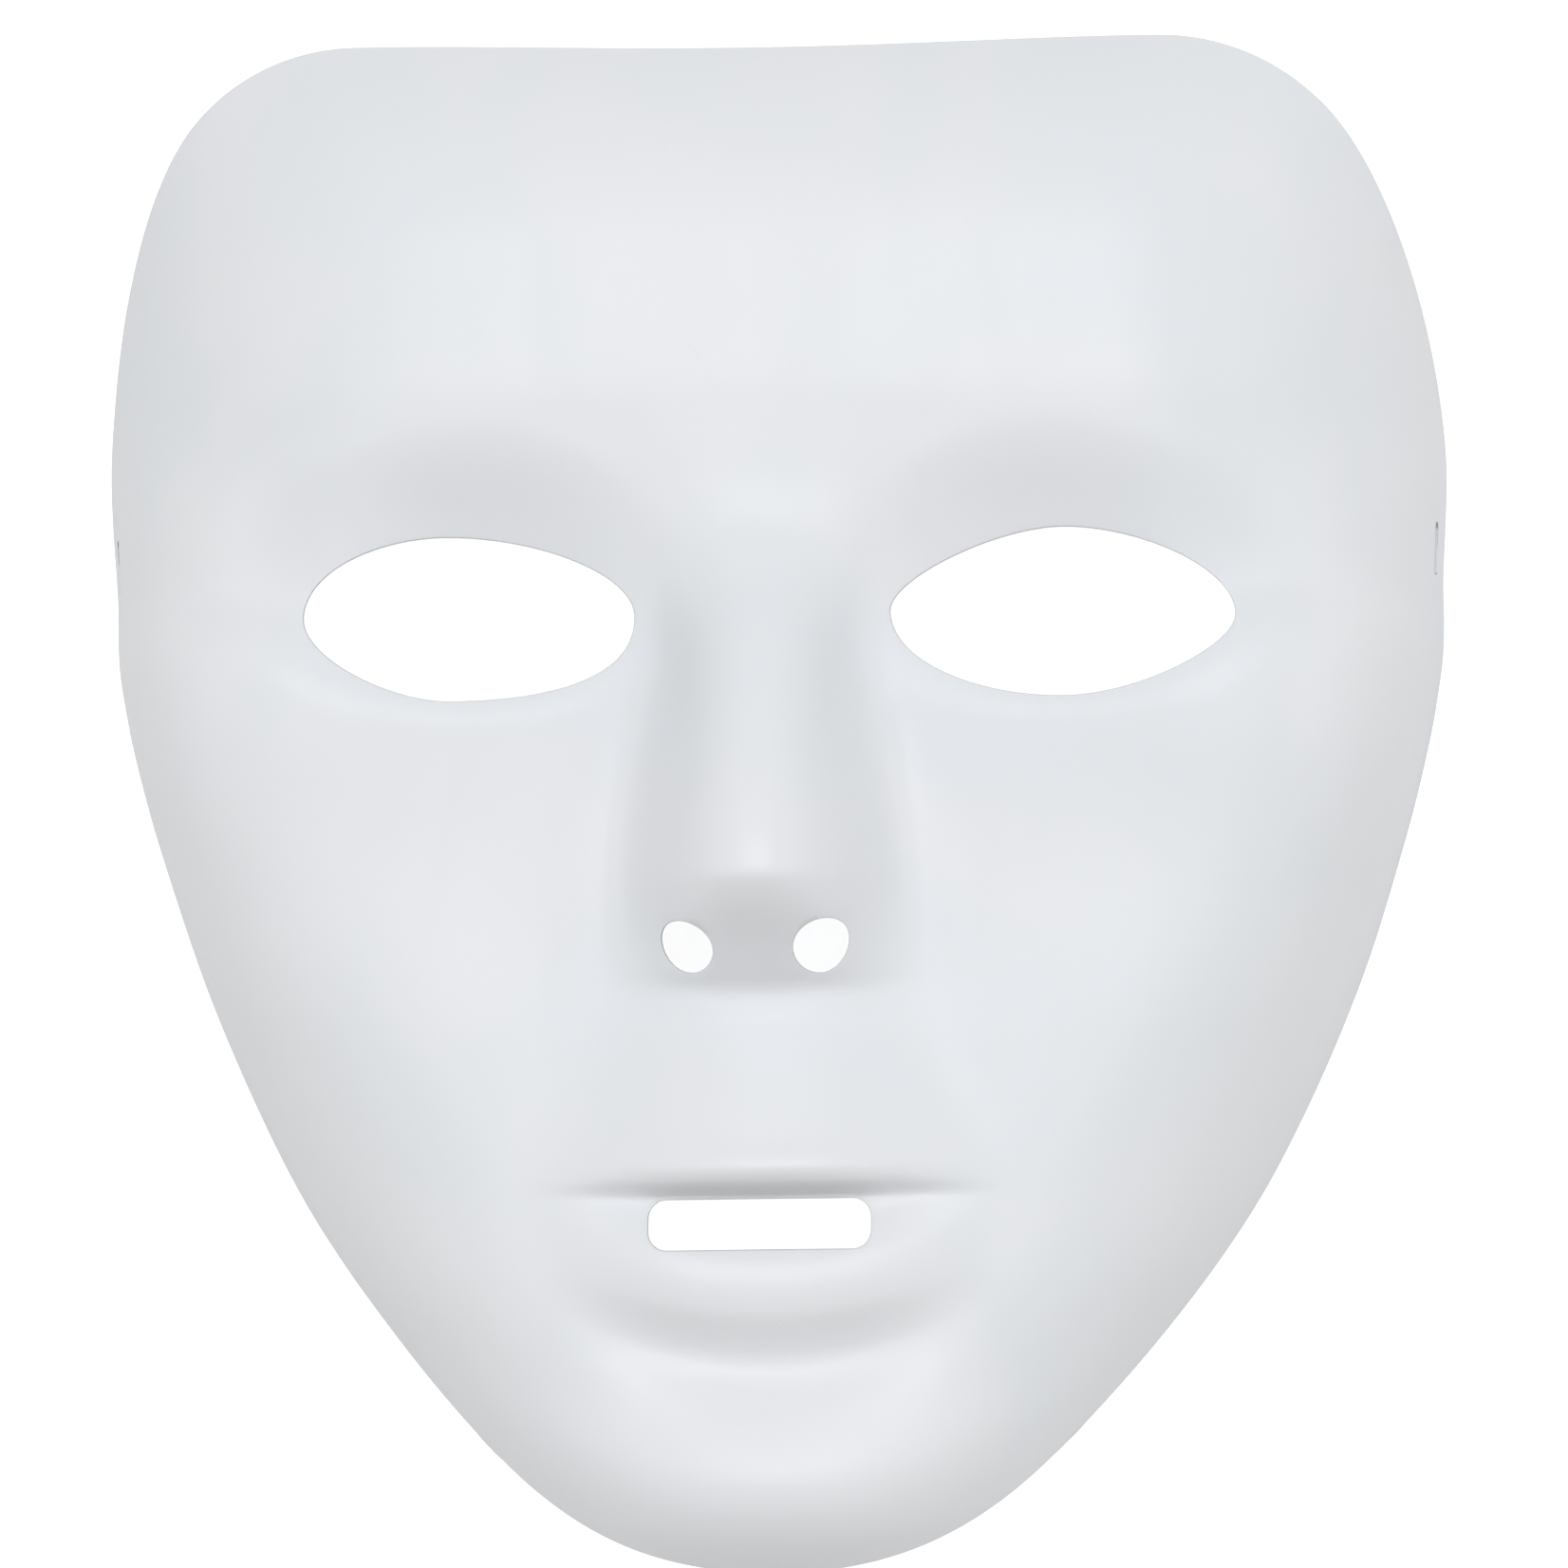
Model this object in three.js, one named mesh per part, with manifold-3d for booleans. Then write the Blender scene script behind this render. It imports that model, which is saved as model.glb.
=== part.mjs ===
// A plain white full face mask, moulded in one thin shell of plastic, with
// almond eye holes, two nostril holes, a mouth slot and a strap slot at each
// side. It lies face up on the cut edges of its two sides.
// Millimetres: +X to the right of someone looking at the face, +Y towards the
// forehead, +Z out of the face. The origin is below the middle of the mask,
// on the surface that it lies on.

import * as THREE from "three";
import { mergeVertices } from "three/addons/utils/BufferGeometryUtils.js";
import Module from "manifold-3d";

const wasm = await Module();
wasm.setup();

// Driving dimensions of the shell
const WALL = 1.3;
const TOP_CENTRE_Y = 98.0;
const TOP_CORNER_Y = 98.9;
const CHIN_Y = -98.9;
const HALF_WIDTH = 88.2;

// Stations of the shell, listed from the forehead to the chin as [y, value]
const MIDLINE_HEIGHT = [
  [104, 38], [98.5, 44.5], [92, 50.2], [85, 54.4], [72, 58], [55, 59.2], [48, 58.5], [38, 57], [24, 55.4],
  [0, 54.4], [-30, 55.4], [-60, 55.4], [-78, 55], [-86, 55.4], [-90, 54.8], [-94, 52], [-97, 46], [-99, 38.5],
  [-104, 22],
];
const SIDE_HALF_WIDTH = [
  [104, 80], [92, 83], [76, 85.5], [61, 87], [41, 88.2], [20, 87.6], [12, 86.5], [2, 84.3], [-9, 81.2],
  [-24, 76.2], [-39, 69.6], [-54, 61.3], [-68, 51.4], [-78, 44], [-90, 35], [-98, 28], [-104, 23],
];
const SIDE_HEIGHT = [
  [104, 24], [90, 17], [79, 12], [70, 9.2], [61, 8], [55, 7.4], [48, 5.6], [42, 3], [34, 0], [24, -2.4],
  [14, -3.8], [2, -4.2], [-10, -3.9], [-20, -3.2], [-29, -1.5], [-38, 2], [-51, 8.4], [-57, 10.5],
  [-62, 12.9], [-70, 15.4], [-85, 18.5], [-104, 18.5],
];
const DOME_FLATNESS = [
  [100, 5.5], [50, 6.5], [18, 12], [4, 13.5], [-14, 11], [-34, 8], [-50, 6.5], [-64, 5.9], [-90, 3.4],
];
const DOME_FULLNESS = 1.5;
const DOME_TRIM = 0.99;
const DOME_LIMIT = 0.9995;
const CHIN_ROLL = { curl: 0.0062, fromY: -50, toY: -80 };

// Features of the face
// An eye hole's edge is four turns between its corners and its highest and
// lowest points.
const EYE_LEFT = {
  inner: [16, 24.7], innerTop: [0.53, 0.47], top: [40.5, 35.2], outerTop: [0.57, 0.48],
  outer: [58.7, 25.1], outerBottom: [0.46, 0.42], bottom: [39.6, 14.2], innerBottom: [0.79, 0.49],
};
const EYE_RIGHT = {
  inner: [16.8, 25], innerTop: [0.38, 0.39], top: [38.9, 35.5], outerTop: [0.53, 0.42],
  outer: [61, 24], outerBottom: [0.39, 0.44], bottom: [38.9, 13.9], innerBottom: [0.6, 0.48],
};
const SOCKET = { x: 37, y: 27, depth: 6.6, inner: 28, outer: 33, above: 23.5, below: 16, power: 1.9 };
const TEMPLE_FOLD = { y: 29, depth: 4.1, above: 16, below: 5.5, fromX: 52, toX: 66 };
const TEMPLE_BAND = { fromX: 57, soft: 3, slope: 0.2, fromY: 34, toY: 56 };
const CHEEKBONE = { x: 62, y: 14, height: 2, halfWidth: 24, halfHeight: 17 };
const TEMPLE_DENT = { x: 74, y: 47, height: -1, halfWidth: 9, halfHeight: 11 };
const NOSE_HEIGHT = [
  [52, 0], [44, 0.6], [38, 1.8], [32, 4.6], [22, 11.1], [7, 19.4], [-1, 22.9], [-5, 24], [-8, 24.2],
  [-10.6, 22.2], [-16, 14], [-20.5, 6], [-23.4, 1.2], [-26.8, 0],
];
const NOSE_HALF_WIDTH = [
  [46, 20], [32, 16.4], [22, 16.2], [12, 18.4], [0, 20.6], [-10, 21.6], [-20, 22.2], [-28, 21.6],
];
const NOSE_FLATNESS = 2.6;
const NOSTRIL = { shift: -0.8, x: 8.7, y: -17.5, halfWidth: 3.1, halfHeight: 3.8, lean: 0.8 };
const NOSTRIL_LEFT_SCALE = 0.97;
const NOSTRIL_RIGHT_SCALE = 1.02;
const UPPER_LIP_HEIGHT = [
  [-17, 0], [-25, 2.8], [-34, 5.2], [-42, 7.6], [-45.8, 9], [-47.6, 7.6], [-49.8, 0.6], [-52.5, 0],
];
const UPPER_LIP_HALF = [[-18, 24], [-28, 26.5], [-44, 33], [-54, 34]];
const UPPER_LIP_FLATNESS = 2.4;
const LOWER_LIP_HEIGHT = [
  [-49.6, 0], [-52.6, 0.6], [-56.1, 2.8], [-58.8, 4.2], [-60.6, 4.4], [-64.4, 3.8], [-67.8, 2.1],
  [-70.8, 0.7], [-74, 0],
];
const LOWER_LIP = { half: 31, curl: 0.0085, fadesFrom: 0.3 };
const CHIN_FOLD = { y: -71.2, depth: 2.1, half: 4.4, curl: 0.0119, fromX: 6, toX: 31 };
const CHIN = { x: 0, y: -86, height: 3.6, halfWidth: 22, halfHeight: 11 };
const MOUTH = { x: -0.9, y: -53.3, halfWidth: 14.3, halfHeight: 3.2, corner: 2.4 };
const STRAP_SLOT = { y: 32.6, z: 6.5, length: 6.6, width: 2 };
const STRAP_LAND = { length: 15, width: 8, cut: 0.25 };

// How finely the shell is divided
const COLUMNS_HALF = 19;
const ROWS = 52;
// Where columns crowd together: how much more, over what share of the half width
const MIDDLE_CROWDING = { more: 0.5, half: 0.3 };
const EDGE_CROWDING = { more: 1.3, half: 0.1 };
const COLUMN_DENSITY = 0.8;
// Where rows crowd together: [y, how much more, over what half height]
const ROW_CROWDING = [[-56, 1.6, 16], [-16, 0.7, 14], [36, 0.5, 14], [72, -0.3, 18]];
const CURVE_SAMPLES = 240;

const clamp = (value, low, high) => Math.min(high, Math.max(low, value));

function smooth(from, to, value) {
  const t = clamp((value - from) / (to - from), 0, 1);
  return t * t * (3 - 2 * t);
}

const bell = (t) => Math.exp(-t * t);

// A smooth curve through [y, value] stations that doesn't overshoot them.
function stations(points) {
  const p = [...points].sort((a, b) => a[0] - b[0]);
  const last = p.length - 1;
  const step = p.slice(1).map((q, i) => q[0] - p[i][0]);
  const rise = p.slice(1).map((q, i) => (q[1] - p[i][1]) / step[i]);
  const slope = p.map((_, i) => {
    if (i === 0) return rise[0];
    if (i === last) return rise[last - 1];
    if (rise[i - 1] * rise[i] <= 0) return 0;
    const before = 2 * step[i] + step[i - 1];
    const after = step[i] + 2 * step[i - 1];
    return (before + after) / (before / rise[i - 1] + after / rise[i]);
  });
  return (y) => {
    const at = clamp(y, p[0][0], p[last][0]);
    let i = 0;
    while (i < last - 1 && at > p[i + 1][0]) i += 1;
    const h = step[i];
    const t = (at - p[i][0]) / h;
    const u = 1 - t;
    return (
      (1 + 2 * t) * u * u * p[i][1] +
      t * u * u * h * slope[i] +
      t * t * (3 - 2 * t) * p[i + 1][1] -
      t * t * u * h * slope[i + 1]
    );
  };
}

const midlineHeight = stations(MIDLINE_HEIGHT);
const sideHalfWidth = stations(SIDE_HALF_WIDTH);
const sideHeight = stations(SIDE_HEIGHT);
const domeFlatness = stations(DOME_FLATNESS);
const noseHeight = stations(NOSE_HEIGHT);
const noseHalfWidth = stations(NOSE_HALF_WIDTH);
const upperLipHeight = stations(UPPER_LIP_HEIGHT);
const upperLipHalf = stations(UPPER_LIP_HALF);
const lowerLipHeight = stations(LOWER_LIP_HEIGHT);

// The forms that add up to the outer surface, each for x measured from the
// middle of the face, without its sign.

function dome(x, y) {
  const power = domeFlatness(y);
  const fall = (across) => 1 - (1 - across ** power) ** (1 / DOME_FULLNESS);
  const share = fall(Math.min((DOME_TRIM * x) / sideHalfWidth(y), DOME_LIMIT)) / fall(DOME_TRIM);
  const curled = CHIN_ROLL.curl * x * x * smooth(CHIN_ROLL.fromY, CHIN_ROLL.toY, y);
  const middle = midlineHeight(y - curled);
  return middle + (sideHeight(y) - middle) * share;
}

function eyeSocket(x, y) {
  const halfWidth = x < SOCKET.x ? SOCKET.inner : SOCKET.outer;
  const halfHeight = y > SOCKET.y ? SOCKET.above : SOCKET.below;
  const away = ((x - SOCKET.x) / halfWidth) ** 2 + ((y - SOCKET.y) / halfHeight) ** 2;
  return -SOCKET.depth * clamp(1 - away, 0, 1) ** SOCKET.power;
}

function templeFold(x, y) {
  const half = y > TEMPLE_FOLD.y ? TEMPLE_FOLD.above : TEMPLE_FOLD.below;
  const fade = smooth(TEMPLE_FOLD.fromX, TEMPLE_FOLD.toX, x);
  return -TEMPLE_FOLD.depth * bell((y - TEMPLE_FOLD.y) / half) * fade;
}

// The sides of the forehead turn back from its flat front.
function templeBand(x, y) {
  const past = (x - TEMPLE_BAND.fromX) / TEMPLE_BAND.soft;
  const fade = smooth(TEMPLE_BAND.fromY, TEMPLE_BAND.toY, y);
  return -TEMPLE_BAND.slope * TEMPLE_BAND.soft * Math.log1p(Math.exp(past)) * fade;
}

function swelling(form, x, y) {
  const across = (x - form.x) / form.halfWidth;
  const along = (y - form.y) / form.halfHeight;
  return form.height * Math.exp(-(across ** 2) - along ** 2);
}

// Falls from 1 at the middle of a form to 0 at its foot, without a crease there.
function roundedOff(share, flatness) {
  return (1 - clamp(share, 0, 1) ** flatness) ** 3;
}

function nose(x, y) {
  return noseHeight(y) * roundedOff(x / noseHalfWidth(y), NOSE_FLATNESS);
}

function upperLip(x, y) {
  return upperLipHeight(y) * roundedOff(x / upperLipHalf(y), UPPER_LIP_FLATNESS);
}

function lowerLip(x, y) {
  const level = y - LOWER_LIP.curl * x * x;
  return lowerLipHeight(level) * (1 - smooth(LOWER_LIP.fadesFrom, 1, x / LOWER_LIP.half));
}

function chinFold(x, y) {
  const level = y - CHIN_FOLD.curl * x * x;
  const fade = 1 - smooth(CHIN_FOLD.fromX, CHIN_FOLD.toX, x);
  return -CHIN_FOLD.depth * bell((level - CHIN_FOLD.y) / CHIN_FOLD.half) * fade;
}

function surfaceHeight(signedX, y) {
  const x = Math.abs(signedX);
  return (
    dome(x, y) +
    eyeSocket(x, y) +
    templeFold(x, y) +
    templeBand(x, y) +
    swelling(CHEEKBONE, x, y) +
    swelling(TEMPLE_DENT, x, y) +
    nose(x, y) +
    upperLip(x, y) +
    lowerLip(x, y) +
    chinFold(x, y) +
    swelling(CHIN, x, y)
  );
}

function surfacePoint(x, y) {
  return new THREE.Vector3(x, y, surfaceHeight(x, y));
}

const SLOPE_STEP = 0.2;

function surfaceNormal(x, y) {
  const d = SLOPE_STEP;
  const slopeX = (surfaceHeight(x + d, y) - surfaceHeight(x - d, y)) / (2 * d);
  const slopeY = (surfaceHeight(x, y + d) - surfaceHeight(x, y - d)) / (2 * d);
  return new THREE.Vector3(-slopeX, -slopeY, 1).normalize();
}

// The right half of the outline, seen from the front, in three stretches.
function path(...beziers) {
  const curve = new THREE.CurvePath();
  for (const points of beziers) {
    curve.add(new THREE.CubicBezierCurve(...points.map(([x, y]) => new THREE.Vector2(x, y))));
  }
  return curve;
}

const TOP_CORNER = [73.4, 89.6];
const EAR_CORNER = [87, 15];
const JAW = [64.4, -48.7];
const CHIN_CORNER = [36, -84];

const topEdge = path(
  [[0, TOP_CENTRE_Y], [20, TOP_CENTRE_Y], [36, TOP_CORNER_Y], [52, TOP_CORNER_Y]],
  [[52, TOP_CORNER_Y], [60.5, TOP_CORNER_Y], [68.5, 95.6], TOP_CORNER],
);
const sideEdge = path(
  [TOP_CORNER, [82, 82], [HALF_WIDTH, 60], [HALF_WIDTH, 39]],
  [[HALF_WIDTH, 39], [HALF_WIDTH, 31], [87.7, 22], EAR_CORNER],
  [EAR_CORNER, [83, -6], [75.8, -28], JAW],
  [JAW, [57.7, -60.7], [46, -74.5], CHIN_CORNER],
);
const chinEdge = path([[0, CHIN_Y], [16, CHIN_Y], [27, -92.8], CHIN_CORNER]);

// Rows lie closer together where the face has more form.
function rowDensity(y) {
  return ROW_CROWDING.reduce((sum, [at, more, half]) => sum + more * bell((y - at) / half), 1);
}

// Points of a curve, as a function of the share of its own weighted length.
function byDensity(curve, density) {
  const points = curve.getSpacedPoints(CURVE_SAMPLES);
  const sum = [0];
  for (let i = 1; i < points.length; i += 1) {
    const middle = (points[i].y + points[i - 1].y) / 2;
    sum.push(sum[i - 1] + points[i].distanceTo(points[i - 1]) * density(middle));
  }
  const total = sum[sum.length - 1];
  return (share) => {
    const want = clamp(share, 0, 1) * total;
    let i = 1;
    while (i < points.length - 1 && sum[i] < want) i += 1;
    const t = (want - sum[i - 1]) / (sum[i] - sum[i - 1]);
    return points[i - 1].clone().lerp(points[i], clamp(t, 0, 1));
  };
}

const sideAt = byDensity(sideEdge, rowDensity);
const TOP_BLEND_TO_Y = 72;
const CHIN_BLEND_FROM_Y = -64;

// Columns lie closer together at the middle of the face and towards its edge.
function columnDensity(t) {
  const middle = MIDDLE_CROWDING.more * bell(t / MIDDLE_CROWDING.half);
  const edge = EDGE_CROWDING.more * bell((1 - t) / EDGE_CROWDING.half);
  return COLUMN_DENSITY + middle + edge;
}

function crowdedShares() {
  const sum = [0];
  for (let i = 1; i <= CURVE_SAMPLES; i += 1) sum.push(sum[i - 1] + columnDensity((i - 0.5) / CURVE_SAMPLES));
  return (share) => {
    const want = share * sum[CURVE_SAMPLES];
    let i = 1;
    while (i < CURVE_SAMPLES && sum[i] < want) i += 1;
    return (i - 1 + (want - sum[i - 1]) / (sum[i] - sum[i - 1])) / CURVE_SAMPLES;
  };
}

const columnShare = crowdedShares();

// The place in plan of one corner of the grid: straight rows between the two
// sides, which bend into the top edge and into the chin.
function planPoint(column, row) {
  const t = columnShare(Math.abs(column) / COLUMNS_HALF);
  const side = sideAt(row / ROWS);
  const top = topEdge.getPointAt(t);
  const chin = chinEdge.getPointAt(t);
  const toTop = smooth(TOP_BLEND_TO_Y, TOP_CORNER[1], side.y);
  const toChin = smooth(CHIN_BLEND_FROM_Y, CHIN_CORNER[1], side.y);
  const x = side.x * t + toTop * (top.x - TOP_CORNER[0] * t) + toChin * (chin.x - CHIN_CORNER[0] * t);
  const y = side.y + toTop * (top.y - TOP_CORNER[1]) + toChin * (chin.y - CHIN_CORNER[1]);
  return [Math.sign(column) * x, y];
}

// The shell before it is cut: the outer surface, the inner surface one wall
// behind it, and the strip of edge that joins them.
function shellGeometry() {
  const outer = [];
  const inner = [];
  for (let row = 0; row <= ROWS; row += 1) {
    for (let column = -COLUMNS_HALF; column <= COLUMNS_HALF; column += 1) {
      const [x, y] = planPoint(column, row);
      const point = surfacePoint(x, y);
      outer.push(point);
      inner.push(point.clone().addScaledVector(surfaceNormal(x, y), -WALL));
    }
  }
  const across = 2 * COLUMNS_HALF + 1;
  const count = outer.length;
  const index = [];
  const quad = (a, b, c, d) => index.push(a, b, c, a, c, d);
  for (let row = 0; row < ROWS; row += 1) {
    for (let column = 0; column < across - 1; column += 1) {
      const a = row * across + column;
      const b = a + 1;
      const c = b + across;
      const d = a + across;
      if (column < COLUMNS_HALF) {
        quad(a, d, c, b);
        quad(count + a, count + b, count + c, count + d);
      } else {
        quad(d, c, b, a);
        quad(count + d, count + a, count + b, count + c);
      }
    }
  }
  const rim = [];
  for (let column = 0; column < across - 1; column += 1) rim.push(column);
  for (let row = 0; row < ROWS; row += 1) rim.push(row * across + across - 1);
  for (let column = across - 1; column > 0; column -= 1) rim.push(ROWS * across + column);
  for (let row = ROWS; row > 0; row -= 1) rim.push(row * across);
  rim.forEach((a, i) => {
    const b = rim[(i + 1) % rim.length];
    quad(a, b, count + b, count + a);
  });
  const geometry = new THREE.BufferGeometry().setFromPoints([...outer, ...inner]);
  geometry.setIndex(index);
  return geometry;
}

// Solids for cutting
const MERGE_WITHIN = 1e-4;

function solid(geometry) {
  const bare = geometry.clone();
  bare.deleteAttribute("normal");
  bare.deleteAttribute("uv");
  const merged = mergeVertices(bare, MERGE_WITHIN);
  return new wasm.Manifold(
    new wasm.Mesh({
      numProp: 3,
      vertProperties: new Float32Array(merged.attributes.position.array),
      triVerts: new Uint32Array(merged.index.array),
    }),
  );
}

function geometryOf(made) {
  const mesh = made.getMesh();
  const geometry = new THREE.BufferGeometry();
  geometry.setAttribute("position", new THREE.BufferAttribute(mesh.vertProperties, mesh.numProp));
  geometry.setIndex(new THREE.BufferAttribute(mesh.triVerts, 1));
  geometry.computeVertexNormals();
  return geometry;
}

// A hole punched straight back through the face
const PUNCH_LENGTH = 120;

function punch(shape, curveSegments) {
  return solid(new THREE.ExtrudeGeometry(shape, { depth: PUNCH_LENGTH, bevelEnabled: false, curveSegments }));
}

function eyeShape(side) {
  const eye = side > 0 ? EYE_RIGHT : EYE_LEFT;
  const shape = new THREE.Shape();
  // One turn between a corner of the eye and its highest or lowest point
  const turn = (corner, peak, [rise, run], toCorner) => {
    const atCorner = [side * corner[0], corner[1] + rise * (peak[1] - corner[1])];
    const atPeak = [side * (peak[0] + run * (corner[0] - peak[0])), peak[1]];
    if (toCorner) shape.bezierCurveTo(...atPeak, ...atCorner, side * corner[0], corner[1]);
    else shape.bezierCurveTo(...atCorner, ...atPeak, side * peak[0], peak[1]);
  };
  shape.moveTo(side * eye.inner[0], eye.inner[1]);
  turn(eye.inner, eye.top, eye.innerTop, false);
  turn(eye.outer, eye.top, eye.outerTop, true);
  turn(eye.outer, eye.bottom, eye.outerBottom, false);
  turn(eye.inner, eye.bottom, eye.innerBottom, true);
  return shape;
}

function nostrilShape(side) {
  const scale = side < 0 ? NOSTRIL_LEFT_SCALE : NOSTRIL_RIGHT_SCALE;
  const halfWidth = scale * NOSTRIL.halfWidth;
  const halfHeight = scale * NOSTRIL.halfHeight;
  const shape = new THREE.Shape();
  shape.absellipse(
    NOSTRIL.shift + side * NOSTRIL.x, NOSTRIL.y, halfWidth, halfHeight, 0, 2 * Math.PI, false,
    -side * NOSTRIL.lean,
  );
  return shape;
}

function mouthShape() {
  const { halfWidth: w, halfHeight: h, corner: r, x, y } = MOUTH;
  const shape = new THREE.Shape();
  shape.moveTo(x - w + r, y - h);
  shape.lineTo(x + w - r, y - h);
  shape.absarc(x + w - r, y - h + r, r, -Math.PI / 2, 0, false);
  shape.absarc(x + w - r, y + h - r, r, 0, Math.PI / 2, false);
  shape.absarc(x - w + r, y + h - r, r, Math.PI / 2, Math.PI, false);
  shape.absarc(x - w + r, y - h + r, r, Math.PI, 1.5 * Math.PI, false);
  return shape;
}

// The frame of the side wall at a strap slot: out of the wall, along the slot
// and up the wall.
const SEARCH_STEP = 0.01;

function slotFrame(side) {
  let x = HALF_WIDTH;
  while (surfaceHeight(x, STRAP_SLOT.y) < STRAP_SLOT.z) x -= SEARCH_STEP;
  const out = surfaceNormal(side * x, STRAP_SLOT.y);
  const up = new THREE.Vector3().crossVectors(out, new THREE.Vector3(0, side, 0)).normalize();
  const along = new THREE.Vector3().crossVectors(up, out);
  const origin = surfacePoint(side * x, STRAP_SLOT.y);
  return new THREE.Matrix4().makeBasis(out, along, up).setPosition(origin);
}

const SLOT_CUTTER_DEPTH = 10;

function slotCutter(side) {
  const box = new THREE.BoxGeometry(SLOT_CUTTER_DEPTH, STRAP_SLOT.length, STRAP_SLOT.width);
  return solid(box.applyMatrix4(slotFrame(side)));
}

// The shallow flat that the strap's end lies against, around the slot
const LAND_CUTTER_DEPTH = 4;

function landCutter(side) {
  const box = new THREE.BoxGeometry(LAND_CUTTER_DEPTH, STRAP_LAND.length, STRAP_LAND.width);
  box.translate(LAND_CUTTER_DEPTH / 2 - STRAP_LAND.cut, 0, 0);
  return solid(box.applyMatrix4(slotFrame(side)));
}

// Everything below the surface that the mask lies on is cut away, so that
// the sides end in two flat edges.
const FLOOR_CUTTER_SIZE = 400;
const FLOOR_CUTTER_DEPTH = 60;

function floorCutter() {
  const box = new THREE.BoxGeometry(FLOOR_CUTTER_SIZE, FLOOR_CUTTER_SIZE, FLOOR_CUTTER_DEPTH);
  return solid(box.translate(0, 0, -FLOOR_CUTTER_DEPTH / 2));
}

const EYE_SEGMENTS = 7;
const NOSTRIL_SEGMENTS = 8;
const MOUTH_SEGMENTS = 4;

function maskGeometry() {
  let shell = solid(shellGeometry());
  for (const side of [-1, 1]) {
    shell = shell.subtract(punch(eyeShape(side), EYE_SEGMENTS));
    shell = shell.subtract(punch(nostrilShape(side), NOSTRIL_SEGMENTS));
    shell = shell.subtract(landCutter(side));
    shell = shell.subtract(slotCutter(side));
  }
  shell = shell.subtract(punch(mouthShape(), MOUTH_SEGMENTS));
  shell = shell.subtract(floorCutter());
  return geometryOf(shell);
}

const whitePlastic = new THREE.MeshStandardMaterial({ color: 0xe6e8ea, roughness: 0.5, metalness: 0 });

const mask = new THREE.Mesh(maskGeometry(), whitePlastic);
mask.name = "mask";

const fullFaceMask = new THREE.Group();
fullFaceMask.add(mask);

export default fullFaceMask;
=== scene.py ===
import math

import bmesh
import bpy
import numpy as np
from mathutils import Matrix, Vector


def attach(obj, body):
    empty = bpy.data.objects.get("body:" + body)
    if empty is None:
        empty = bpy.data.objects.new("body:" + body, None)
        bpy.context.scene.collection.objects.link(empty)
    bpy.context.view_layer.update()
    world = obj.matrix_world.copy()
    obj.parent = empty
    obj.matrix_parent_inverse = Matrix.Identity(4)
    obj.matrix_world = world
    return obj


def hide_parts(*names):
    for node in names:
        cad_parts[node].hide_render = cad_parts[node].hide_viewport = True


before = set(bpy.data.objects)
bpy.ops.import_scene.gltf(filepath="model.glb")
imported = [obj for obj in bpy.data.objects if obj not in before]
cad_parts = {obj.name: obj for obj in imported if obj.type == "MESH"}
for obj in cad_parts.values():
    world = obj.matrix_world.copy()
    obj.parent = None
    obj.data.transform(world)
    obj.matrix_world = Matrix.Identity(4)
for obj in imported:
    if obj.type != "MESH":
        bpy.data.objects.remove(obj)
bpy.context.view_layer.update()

# The moulded shell is drawn in millimetres, and MM turns its sizes into the
# metres of the frame.
MM = 0.001

# Sizes of the shell
WALL = 1.3
TOP_CENTRE_Y = 98.0
TOP_CORNER_Y = 98.9
CHIN_Y = -98.9
HALF_WIDTH = 88.2
EDGE_ROUNDING = 0.22

# The outline, as Bezier stretches of its right half
TOP_CORNER = (73.4, 89.6)
EAR_CORNER = (87, 15)
JAW = (64.4, -48.7)
CHIN_CORNER = (36, -84)
TOP_EDGE = [
    [(0, TOP_CENTRE_Y), (20, TOP_CENTRE_Y), (36, TOP_CORNER_Y), (52, TOP_CORNER_Y)],
    [(52, TOP_CORNER_Y), (60.5, TOP_CORNER_Y), (68.1, 95.2), TOP_CORNER],
]
SIDE_EDGE = [
    [TOP_CORNER, (81.4, 81.3), (HALF_WIDTH, 60), (HALF_WIDTH, 39)],
    [(HALF_WIDTH, 39), (HALF_WIDTH, 31), (87.7, 22), EAR_CORNER],
    [EAR_CORNER, (83, -6), (75.8, -28), JAW],
    [JAW, (57.7, -60.7), (46, -74.5), CHIN_CORNER],
]
CHIN_EDGE = [[(0, CHIN_Y), (16, CHIN_Y), (27, -92.8), CHIN_CORNER]]

# Stations of the shell, from the forehead to the chin, as (y, value)
MIDLINE_HEIGHT = [
    (104, 38), (98.5, 44.5), (92, 50.2), (85, 54.4), (72, 58), (55, 59.2), (48, 58.5), (38, 57),
    (24, 55.4), (0, 54.4), (-30, 55.4), (-60, 55.4), (-78, 55), (-86, 55.4), (-90, 54.8), (-94, 52),
    (-97, 46), (-99, 38.5), (-104, 22),
]
SIDE_HALF_WIDTH = [
    (104, 80), (92, 83), (76, 85.5), (61, 87), (41, 88.2), (20, 87.6), (12, 86.5), (2, 84.3),
    (-9, 81.2), (-24, 76.2), (-39, 69.6), (-54, 61.3), (-68, 51.4), (-78, 44), (-90, 35), (-98, 28),
    (-104, 23),
]
SIDE_HEIGHT = [
    (104, 24), (90, 17), (79, 12), (70, 9.2), (61, 8), (55, 7.4), (48, 5.6), (42, 3), (34, 0),
    (24, -2.4), (14, -3.8), (2, -4.2), (-10, -3.9), (-20, -3.2), (-29, -1.5), (-38, 2), (-51, 8.4),
    (-57, 10.5), (-62, 12.9), (-70, 15.4), (-85, 18.5), (-104, 18.5),
]
DOME_FLATNESS = [
    (100, 5.5), (50, 6.5), (18, 12), (4, 13.5), (-14, 11), (-34, 8), (-50, 6.5), (-64, 5.9), (-90, 3.4),
]
DOME_FULLNESS = 1.5
DOME_TRIM = 0.99
DOME_LIMIT = 0.9995
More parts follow.
